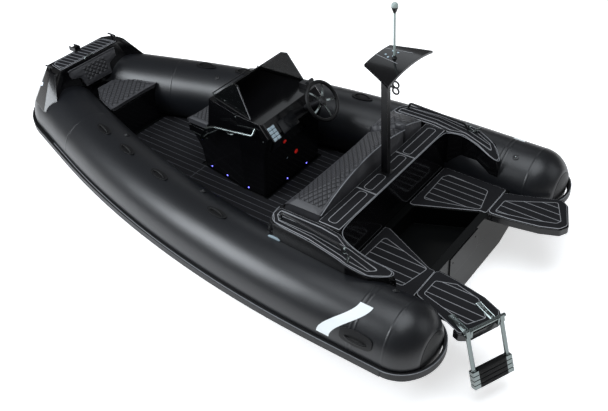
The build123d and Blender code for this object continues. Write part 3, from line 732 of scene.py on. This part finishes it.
def side_mats():
    side = [(1.462, 0.708), (1.462, 0.778), (1.398, 0.850), (0.802, 0.886), (0.656, 0.856),
            (0.560, 0.757), (0.560, 0.714), (0.612, 0.716), (0.740, 0.748), (0.872, 0.748),
            (0.972, 0.704)]
    line = [(1.436, 0.726), (1.428, 0.778), (1.382, 0.824), (0.808, 0.860), (0.680, 0.836),
            (0.622, 0.768), (0.740, 0.774), (0.876, 0.774), (0.975, 0.730)]
    bends = [x for x, z in SIDE_TOP[1:3]]
    mats = []
    for hand, turn in TURNS:
        mats.append(panel(f"mat_side_{hand}", turn(side), 0.03, lambda x: side_top(x) + MAT, "foam",
                          cuts=bends))
        inlay(f"mat_side_line_{hand}", turn(line), 0.022, side_top, "planks_side", bends)
    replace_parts(mats[0], "mats_side")


def stern_mats():
    """The mats on the platforms; the two swim platforms' cut lines differ, as in the photo."""
    aft = [(0.975, 0.160), (0.938, 0.160), (0.494, 0.362), (0.448, 0.362), (0.448, 0.690), (0.975, 0.690)]
    aft_line = [(0.917, 0.255), (0.928, 0.571), (0.896, 0.622), (0.554, 0.605), (0.499, 0.373)]
    swim = [(0.440, 0.362), (0.269, 0.378), (0.056, 0.417), (-0.072, 0.468), (-0.106, 0.532),
            (-0.012, 0.740), (0.042, 0.778), (0.200, 0.716), (0.440, 0.628)]
    swim_line = [(0.398, 0.603), (0.394, 0.457), (0.258, 0.409), (0.079, 0.450), (-0.040, 0.575),
                 (0.035, 0.690), (0.234, 0.644)]
    star_line = [(0.396, -0.391), (0.393, -0.545), (0.054, -0.737), (-0.051, -0.548),
                 (-0.031, -0.509), (0.147, -0.446)]
    mats = []
    for hand, turn in TURNS:
        mats.append(panel(f"mat_aft_{hand}", turn(aft), 0.02, AFT_Z + MAT, "foam"))
        panel(f"mat_swim_{hand}", turn(swim), 0.04, SWIM_Z + MAT, "foam")
        inlay(f"mat_aft_line_{hand}", turn(aft_line), 0.03, AFT_Z, "planks")
    inlay("mat_swim_line_port", swim_line, 0.022, SWIM_Z, "planks")
    inlay("mat_swim_line_starboard", star_line, 0.022, SWIM_Z, "planks")
    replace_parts(mats[0], "mats_aft")


class LayMats(Operator):
    """The foam deck mats, each with a pale bevelled edge and a cut outline inside it"""
    bl_idname = "boat.lay_mats"
    bl_label = "Deck mats"

    def execute(self, context):
        beam_mats()
        side_mats()
        stern_mats()
        nose = [(4.120, 0.312), (4.257, 0.290), (4.288, 0.252)]
        nose += [(x, -y) for x, y in reversed(nose)]
        nose_line = [(x + (0.012 if x < 4.2 else -0.012), y * 0.95) for x, y in nose]
        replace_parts(panel("mat_nose", nose, 0.012, NOSE_Z + MAT, "foam", rim=0.002), "nose_mat")
        inlay("mat_nose_line", nose_line, 0.010, NOSE_Z, "planks_nose")
        return {"FINISHED"}


def ridge_highlight():
    """A pale cord along the arched rear edge of the bench cushions: a painted highlight."""
    x, crown, rise, count = 1.1655, 0.960, 0.150, 12
    end = max(v.co.y for v in nodes["bench_cushion"].data.vertices)
    radius = (end ** 2 + rise ** 2) / (2 * rise)
    for name, body, y0, y1, lift in (("bench_painted_highlight", "bench_lid", -0.400, end - 0.012, 0.0),
                                     ("bench_painted_highlight_starboard", "boat", 0.012 - end, -0.420, 0.035)):
        ys = [y0 + (y1 - y0) * i / count for i in range(count + 1)]
        cord = [(x, y, crown - radius + sqrt(radius ** 2 - y ** 2) + lift - 0.0015) for y in ys]
        place(piping(cord, 0.0038), name, "trim", "upholstery", body)


def swell(obj, cap, voxel):
    """Remeshes the pad, blows it up a little and keeps it from swelling through what it lies on."""
    scene, frames = bpy.context.scene, 20
    modify(obj, "BEVEL", width=0.014, segments=3)
    low = min(v.co.z for v in obj.data.vertices)
    obj.data.remesh_voxel_size = voxel
    only(obj)
    bpy.ops.object.voxel_remesh()
    for v in obj.data.vertices:
        v.co -= v.normal * cap * 0.8
    rest = [v.co.copy() for v in obj.data.vertices]
    cloth = obj.modifiers.new("Cloth", "CLOTH")
    cloth.settings.use_pressure = True
    cloth.settings.uniform_pressure_force = 4.0
    cloth.settings.effector_weights.gravity = 0.0
    cloth.point_cache.frame_start, cloth.point_cache.frame_end = 1, frames
    for f in range(1, frames + 1):
        scene.frame_set(f)
    swollen = obj.evaluated_get(bpy.context.evaluated_depsgraph_get()).to_mesh()
    moved = [v.co.copy() for v in swollen.vertices]
    obj.modifiers.remove(cloth)
    scene.frame_set(1)
    for v, start, end in zip(obj.data.vertices, rest, moved):
        step = end - start
        if step.length > cap:
            step *= cap / step.length
        v.co = start + step
        v.co.z = max(v.co.z, low)
    modify(obj, "SUBSURF", levels=1, render_levels=1)


class StuffCushions(Operator):
    """The seat cushions and backrest, swelled by a short cloth simulation"""
    bl_idname = "boat.stuff_cushions"
    bl_label = "Cushions"

    def execute(self, context):
        s, c = context.scene.boat_sizes, context.scene.boat_colours
        flat, upright = (0, 1), (2, 1)        # axes of the quilted face
        table = (      # node, body, diamonds' pitch, window, axes, fill, voxel
            ("bench_cushion", "bench_lid", 1.0, (1.19, -0.37, 1.44, 0.60), flat, 0.8, 0.013),
            ("bench_cushion_starboard", "boat", 1.3, (1.19, -0.63, 1.44, -0.44), flat, 0.8, 0.010),
            ("console_seat", "console_lid", 1.0, (2.73, -0.41, 2.905, 0.05), flat, 0.8, 0.010),
            ("bow_seat", "bow_lid", 1.2, (3.66, -0.22, 3.94, 0.22), flat, 0.7, 0.010),
            ("bow_backrest", "boat", 1.0, (0.675, -0.12, 0.79, 0.12), upright, 0.7, 0.010))
        for node, body, pitch, window, axes, fill, voxel in table:
            obj = copy_node(node)
            skin = quilted_vinyl("quilted_" + node, c.vinyl, s.diamond * pitch, window, axes)
            swell(obj, s.rise, voxel)
            place(obj, node + "_skin", skin, "upholstery", body, 50)
            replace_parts(obj, node)
        ridge_highlight()
        return {"FINISHED"}


class DressDeck(Operator):
    """Light edges of the mouldings, rail ends, cleats, vents, nose lamps and catch"""
    bl_idname = "boat.dress_deck"
    bl_label = "Deck details"

    def execute(self, context):
        lift = 0.003
        half = [(1.470, 0.702), (1.470, 0.784), (1.402, 0.859), (1.100, 0.8765), (0.850, 0.891),
                (0.800, 0.894), (0.652, 0.864), (0.556, 0.760), (0.541, 0.714), (0.610, 0.711),
                (0.740, 0.7435), (0.870, 0.7435), (0.962, 0.702)]
        loop = [(x, y, side_top(min(x, 1.465)) + lift) for x, y in half]
        loop += [(0.984, y, BEAM_Z + lift) for y in (0.640, 0.300, 0.0)]
        loop += [(x, -y, z) for x, y, z in reversed(loop[:-1])]
        place(piping(loop, 0.0026), "deck_edge_trim", "trim", "deck_foam")
        for side, hand in HANDS:
            ends = [disc(0.013, 0.012, (1.382, side * 0.800, 0.808), round_by=0.003),
                    disc(0.013, 0.014, (0.852, side * 0.822, 0.774), round_by=0.004),
                    disc(0.0105, 0.050, (0.8525, side * 0.822, 0.800), round_by=0.003)]
            place(join(ends), f"rail_ends_{hand}", "steel")
            horns = [(0.790, side * 0.893, 0.778), (0.800, side * 0.870, 0.783),
                     (0.810, side * 0.840, 0.783), (0.820, side * 0.817, 0.778)]
            cleat = [disc(0.008, 0.030, (0.805, side * 0.855, 0.765), round_by=0.002), piping(horns, 0.0075)]
            place(join(cleat), f"stern_cleat_{hand}", "steel")
            vent = disc(0.5, 1, sides=36, round_by=0)
            vent.matrix_world = Matrix.Identity(4)
            vent.data.transform(Matrix.Diagonal((0.100, 0.026, 0.008, 1)))
            modify(vent, "BEVEL", width=0.0015, segments=2, limit_method="ANGLE")
            place(vent, f"side_vent_{hand}", "key", at=posed((1.385, side * 0.881, 0.690), -82.9 * side, "X"))
            place(disc(0.006, 0.006, (1.02, side * 0.8905, 0.700), (0, side, 0.13)),
                  f"side_fitting_{hand}", "steel")
            start, aim = Vector((4.258, side * 1.2, 0.730)), Vector((0, -side, 0))
            hit, at, out, _ = nodes["nose_step"].ray_cast(start, aim)
            if hit:
                place(disc(0.017, 0.008, at, out, 0.003), f"nose_lamp_{hand}", "lens")
        catch = [(4.108, 0.068, 0.842), (4.116, 0.050, 0.856), (4.116, -0.022, 0.856), (4.108, -0.040, 0.842)]
        place(piping(catch, 0.005), "nose_catch", "steel")
        return {"FINISHED"}


def steering_wheel():
    """A grip ring, five bright dished spokes and a capped boss on the raked shaft."""
    ring = grown(bpy.ops.mesh.primitive_torus_add, major_radius=WHEEL_R, minor_radius=WHEEL_GRIP,
                 major_segments=96, minor_segments=20)
    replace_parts(place(ring, "wheel_ring", "grip", "matt_black", "wheel", 60, WHEEL_AT), "steering_wheel")
    root, length = 0.02, 0.125
    for index, turn in enumerate((36, 108, 180, 252, 324)):
        spoke = block((length, 0.015, 0.005), (0.0835, 0, 0), 0.0015)
        edit(spoke, everything=True)
        bpy.ops.mesh.subdivide(number_cuts=6)
        leave()
        for v in spoke.data.vertices:
            out = (v.co.x - root) / length
            v.co.y *= 1.35 - 0.75 * out + 0.5 * out * out
            v.co.z += 0.010 * sin(out * pi) - 0.004
        at = WHEEL_AT @ Matrix.Rotation(radians(turn), 4, "Z")
        place(spoke, f"wheel_spoke_{index}", "steel", body="wheel", at=at)
    boss = [disc(0.036, 0.024, round_by=0.005, sides=40),
            disc(0.026, 0.008, (0, 0, 0.014), round_by=0.003, sides=40)]
    place(join(boss), "wheel_boss", "plastic", "matt_black", "wheel", at=WHEEL_AT)


def dashboard():
    """Switch caps on the sloping dash, instruments, the red start switch and its spare."""
    # x runs up the dash
    face = Matrix.Translation((2.0, 0, 0.855)) @ Matrix.Rotation(-atan2(0.100, 0.075), 4, "Y")

    def fix(obj, name, finish):
        place(obj, name, finish, "matt_black", at=face)

    fix(block((0.122, 0.090, 0.006), (0, 0.100, 0.003), 0.002), "switch_plate", "plastic")
    for row in range(4):
        for column in range(2):
            at = (-0.0435 + row * 0.029, 0.081 + column * 0.038, 0.008)
            fix(block((0.024, 0.034, 0.008), at, 0.002), f"switch_cap_{row}_{column}", "key")
    fix(block((0.105, 0.190, 0.008), (0.002, -0.075, 0.003), 0.003), "chart_screen", "dial")
    for i, y in enumerate((-0.425, -0.480)):
        fix(join([disc(0.024, 0.010, (0.01, y, 0.004), round_by=0.003),
                  disc(0.019, 0.004, (0.01, y, 0.009))]), f"gauge_{i}", "dial")
    upper, lower = (-0.951, 0, -0.308), (-0.996, 0, -0.087)        # ways that the aft faces look
    switches = (((2.0345, -0.055, 0.683), upper, 0.016, "red"), ((2.063, -0.211, 0.491), lower, 0.020, "red"),
                ((2.063, -0.098, 0.495), lower, 0.008, "key"))
    for i, (at, out, radius, finish) in enumerate(switches):
        place(disc(radius, 0.014, at, out, 0.003), f"aft_switch_{i}", finish, "matt_black")
    place(disc(0.026, 0.006, (2.0625, -0.211, 0.491), lower), "aft_switch_ring", "plastic", "matt_black")


def screen_trim():
    """Light edges, gasket and fixing screws of the windscreen."""
    low, high, aft, fore = 0.941, 1.175, 2.168, 2.638
    for side, hand in HANDS:
        edge = [(aft, CON_Y + side * 0.333, low), (2.234, CON_Y + side * 0.3155, (low + high) / 2),
                (2.296, CON_Y + side * 0.299, high - 0.007)]
        place(piping(edge, 0.0022), f"screen_edge_{hand}", "trim", "tinted")
    foot = [(aft, CON_Y + 0.336, low + 0.002), (fore, CON_Y + 0.251, 0.968),
            (fore, CON_Y - 0.251, 0.968), (aft, CON_Y - 0.336, low + 0.002)]
    place(piping(foot, 0.004, order=2), "screen_gasket", "rubber", "dark_rubber")
    for side, hand in HANDS:
        for i, t in enumerate((0.1, 0.37, 0.64, 0.9)):
            at = (2.165 + (2.640 - 2.165) * t - 0.006, CON_Y + side * (0.335 - 0.085 * t - 0.004),
                  low + 0.026 * t + 0.028)
            place(disc(0.006, 0.005, at, (0.15, side, 0.15)), f"screen_screw_{hand}_{i}", "steel")


class RigConsole(Operator):
    """Wheel, switches, screen trim, lights and catches of the helm"""
    bl_idname = "boat.rig_console"
    bl_label = "Helm"

    def execute(self, context):
        steering_wheel()
        dashboard()
        screen_trim()
        spots = ((2.700, 0.1040, (0.149, 1, 0)), (2.510, 0.1325, (0.149, 1, 0)), (2.261, 0.1640, (0, 1, 0)),
                 (2.0765, -0.098, (-1, 0, -0.087)), (2.0765, -0.350, (-1, 0, -0.087)))
        # courtesy lights round the foot of the console
        for i, (x, y, out) in enumerate(spots):
            place(disc(0.0055, 0.006, (x, y, 0.285), out, 0.002, 20), f"courtesy_light_{i}", "led")
        seat = 0.551
        lip = [(2.700, CON_Y + 0.284, seat), (2.919, CON_Y + 0.268, seat), (2.919, CON_Y - 0.268, seat),
               (2.700, CON_Y - 0.284, seat)]
        place(piping(lip, 0.004, order=2), "seat_lip_trim", "steel")
        pull = [(2.455, 0.1385, 0.752), (2.447, 0.158, 0.752), (2.375, 0.170, 0.744), (2.366, 0.152, 0.744)]
        place(piping(pull, 0.005), "locker_pull", "steel")
        for i, at in enumerate(((2.054, 0.163, 0.791), (2.308, 0.162, 0.925))):
            place(disc(0.008, 0.006, at, (0, 1, 0), 0.002), f"console_stud_{i}", "steel")
        return {"FINISHED"}


class DressMast(Operator):
    """Lamps, seams and studs of the mast's wing"""
    bl_idname = "boat.dress_mast"
    bl_label = "Mast details"

    def execute(self, context):
        radius = (WING_HALF ** 2 + WING_RISE ** 2) / (2 * WING_RISE)

        def on_wing(x, y, lift=0.0005):
            return Vector((x, y, WING_Z - radius + sqrt(radius ** 2 - y ** 2) + lift))

        seams = (((1.134, -0.087), (0.951, -0.131)), ((1.134, 0.020), (0.958, 0.049)))
        for i, ((xa, ya), (xb, yb)) in enumerate(seams):
            seam = [on_wing(xa + (xb - xa) * t / 4, ya + (yb - ya) * t / 4) for t in range(5)]
            place(piping(seam, 0.0017), f"wing_seam_{i}", "line", "gloss_black")
        spots = ((1.069, -0.080), (1.081, -0.010), (1.028, -0.075), (1.027, -0.013), (1.050, 0.012))
        studs = [disc(0.0075, 0.009, on_wing(x, y), (0, y, 1), 0.002, 20) for x, y in spots]
        place(join(studs), "wing_studs", "key")
        foot = join([disc(0.017, 0.008, on_wing(1.010, 0, 0.003), round_by=0.003),
                     disc(0.0100, 0.020, on_wing(1.010, 0, 0.010), round_by=0.002)])
        place(foot, "pole_foot", "plastic", "matt_black")
        for side, hand in HANDS:
            for i, x in enumerate((1.105, 0.985)):
                at = posed((x, side * 0.088, 1.6895), side * -48, "X")
                lamp = block((0.048, 0.006, 0.024), (0, 0, 0), 0.0025, 3)
                place(lamp, f"wing_lamp_{hand}_{i}", "lens", at=at)
        return {"FINISHED"}


class DressLadder(Operator):
    """Rubber treads, hinge plates and collars of the boarding ladder"""
    bl_idname = "boat.dress_ladder"
    bl_label = "Ladder details"

    def execute(self, context):
        for index, body in enumerate(("ladder", "ladder_2", "ladder_3", "ladder_4")):
            z = -LADDER_LEN - index * TREAD_PITCH + 0.013
            tread = [block((0.050, 0.216, 0.0285), (0, 0, z), 0.004)]
            tread += [block((0.004, 0.204, 0.0295), (x, 0, z), 0.001, 1)
                      for x in (-0.018, -0.009, 0.0, 0.009, 0.018)]
            tread += [block((0.0525, 0.204, 0.003), (0, 0, z + dz), 0.001, 1) for dz in (-0.008, 0.0, 0.008)]
            place(join(tread), f"tread_{index + 1}", "grip", "dark_rubber", body, at=LADDER_DOWN)
            for side, hand in HANDS:
                collar = disc(0.0185 - index * 0.0005, 0.010, (0, side * LADDER_HALF, z + 0.018),
                              round_by=0.002)
                place(collar, f"tread_collar_{hand}_{index + 1}", "steel", body=body, at=LADDER_DOWN)
        deck = SWIM_Z - HINGE_Z
        for side, hand in HANDS:
            x, y = -0.1115, side * 0.104
            plate = [block((0.178, 0.046, 0.005), (x, y, deck + 0.0095), 0.0015)]
            plate += [disc(0.008, 0.005, (bolt, y, deck + 0.0142), round_by=0.0015, sides=6)
                      for bolt in (-0.050, -0.110, -0.170)]
            plate += [block((0.165, 0.003, 0.004), (x, y + dy, deck + 0.0137), 0.001, 1)
                      for dy in (-0.016, 0.016)]
            place(join(plate), f"hinge_plate_{hand}", "steel", at=LADDER_AT)
        return {"FINISHED"}


def photo_camera(context):
    """The photograph's view, from high on the port quarter."""
    focal, width, middle, axis = 837.4, 608, (304, 205.5), (361.6, 194.4)        # in pixels of the frame
    sensor = 36.0
    cam = grown(bpy.ops.object.camera_add, location=(-1.49, 3.98, 4.31))
    yaw, pitch, roll = radians(-55.1), radians(38.0), radians(-1.3)
    ahead = Vector((cos(yaw) * cos(pitch), sin(yaw) * cos(pitch), -sin(pitch)))
    right = Vector((ahead.y, -ahead.x, 0)).normalized()
    up = right.cross(ahead)
    rows = (right * cos(roll) + up * sin(roll), up * cos(roll) - right * sin(roll), -ahead)
    cam.matrix_world = Matrix.Translation(cam.location) @ Matrix(rows).transposed().to_4x4()
    cam.data.sensor_width = sensor
    cam.data.lens = focal / width * sensor
    cam.data.shift_x = (middle[0] - axis[0]) / width
    cam.data.shift_y = (axis[1] - middle[1]) / width
    cam.data.clip_end = 200
    context.scene.camera = cam
    context.scene.view_settings.view_transform = "Standard"


class SetStage(Operator):
    """The pale floor at the waterline, soft lights and the camera"""
    bl_idname = "boat.set_stage"
    bl_label = "Stage"

    def execute(self, context):
        floor = grown(bpy.ops.mesh.primitive_plane_add, size=60, location=(2, 0, 0))
        floor.name = "floor"
        bpy.ops.object.transform_apply()
        mat, tree, node, place = finish("pale_floor", "#f6f6f6", 0.9, Specular_IOR_Level=0.1,
                                        Emission_Color=srgb("#ffffff"), Emission_Strength=0.6)
        clouds(tree, node, place, "#f6f6f6", "#f4f4f5", 3.0)
        floor.data.materials.append(mat)
        world = bpy.data.worlds.new("studio")
        context.scene.world = world
        world.use_nodes = True
        back = world.node_tree.nodes["Background"]
        back.inputs[0].default_value = srgb("#ffffff")
        back.inputs[1].default_value = 0.13
        target, daylight = Vector((2.0, 0.0, 0.4)), (0.90, 0.95, 1.0)
        lights = (      # name, place, size, watts
            ("overhead", (1.0, 0.5, 7.5), 6.0, 430), ("bow_soft", (6.5, 5.0, 5.0), 3.5, 560),
            ("stern_soft", (-5.5, -3.5, 5.0), 5.0, 90), ("starboard_soft", (5.5, -7.0, 6.0), 4.0, 40))
        for name, at, size, power in lights:
            light = grown(bpy.ops.object.light_add, type="AREA", location=at)
            light.name = name
            light.data.size = size
            light.data.energy = power
            light.data.color = daylight
            light.rotation_mode = "QUATERNION"
            light.rotation_quaternion = (target - Vector(at)).to_track_quat("-Z", "Y")
        photo_camera(context)
        return {"FINISHED"}


class BoatPanel(Panel):
    bl_idname = "VIEW3D_PT_boat"
    bl_label = "Boat"
    bl_space_type = "VIEW_3D"
    bl_region_type = "UI"
    bl_category = "Boat"

    def draw(self, context):
        for group in (context.scene.boat_sizes, context.scene.boat_colours):
            for key in group.__annotations__:
                self.layout.prop(group, key)
        for op in OPERATORS:
            self.layout.operator(op.bl_idname)


OPERATORS = (PaintMouldings, MakeTubes, TrimTubes, LayMats, StuffCushions, DressDeck, RigConsole, DressMast,
             DressLadder, SetStage)
CLASSES = (BoatColours, BoatSizes) + OPERATORS + (BoatPanel,)


def register():
    for cls in CLASSES:
        bpy.utils.register_class(cls)
    bpy.types.Scene.boat_colours = bpy.props.PointerProperty(type=BoatColours)
    bpy.types.Scene.boat_sizes = bpy.props.PointerProperty(type=BoatSizes)


def unregister():
    del bpy.types.Scene.boat_colours
    del bpy.types.Scene.boat_sizes
    for cls in reversed(CLASSES):
        bpy.utils.unregister_class(cls)


def main():
    register()
    for op in OPERATORS:
        group, name = op.bl_idname.split(".")
        getattr(getattr(bpy.ops, group), name)()


if __name__ == "__main__":
    main()
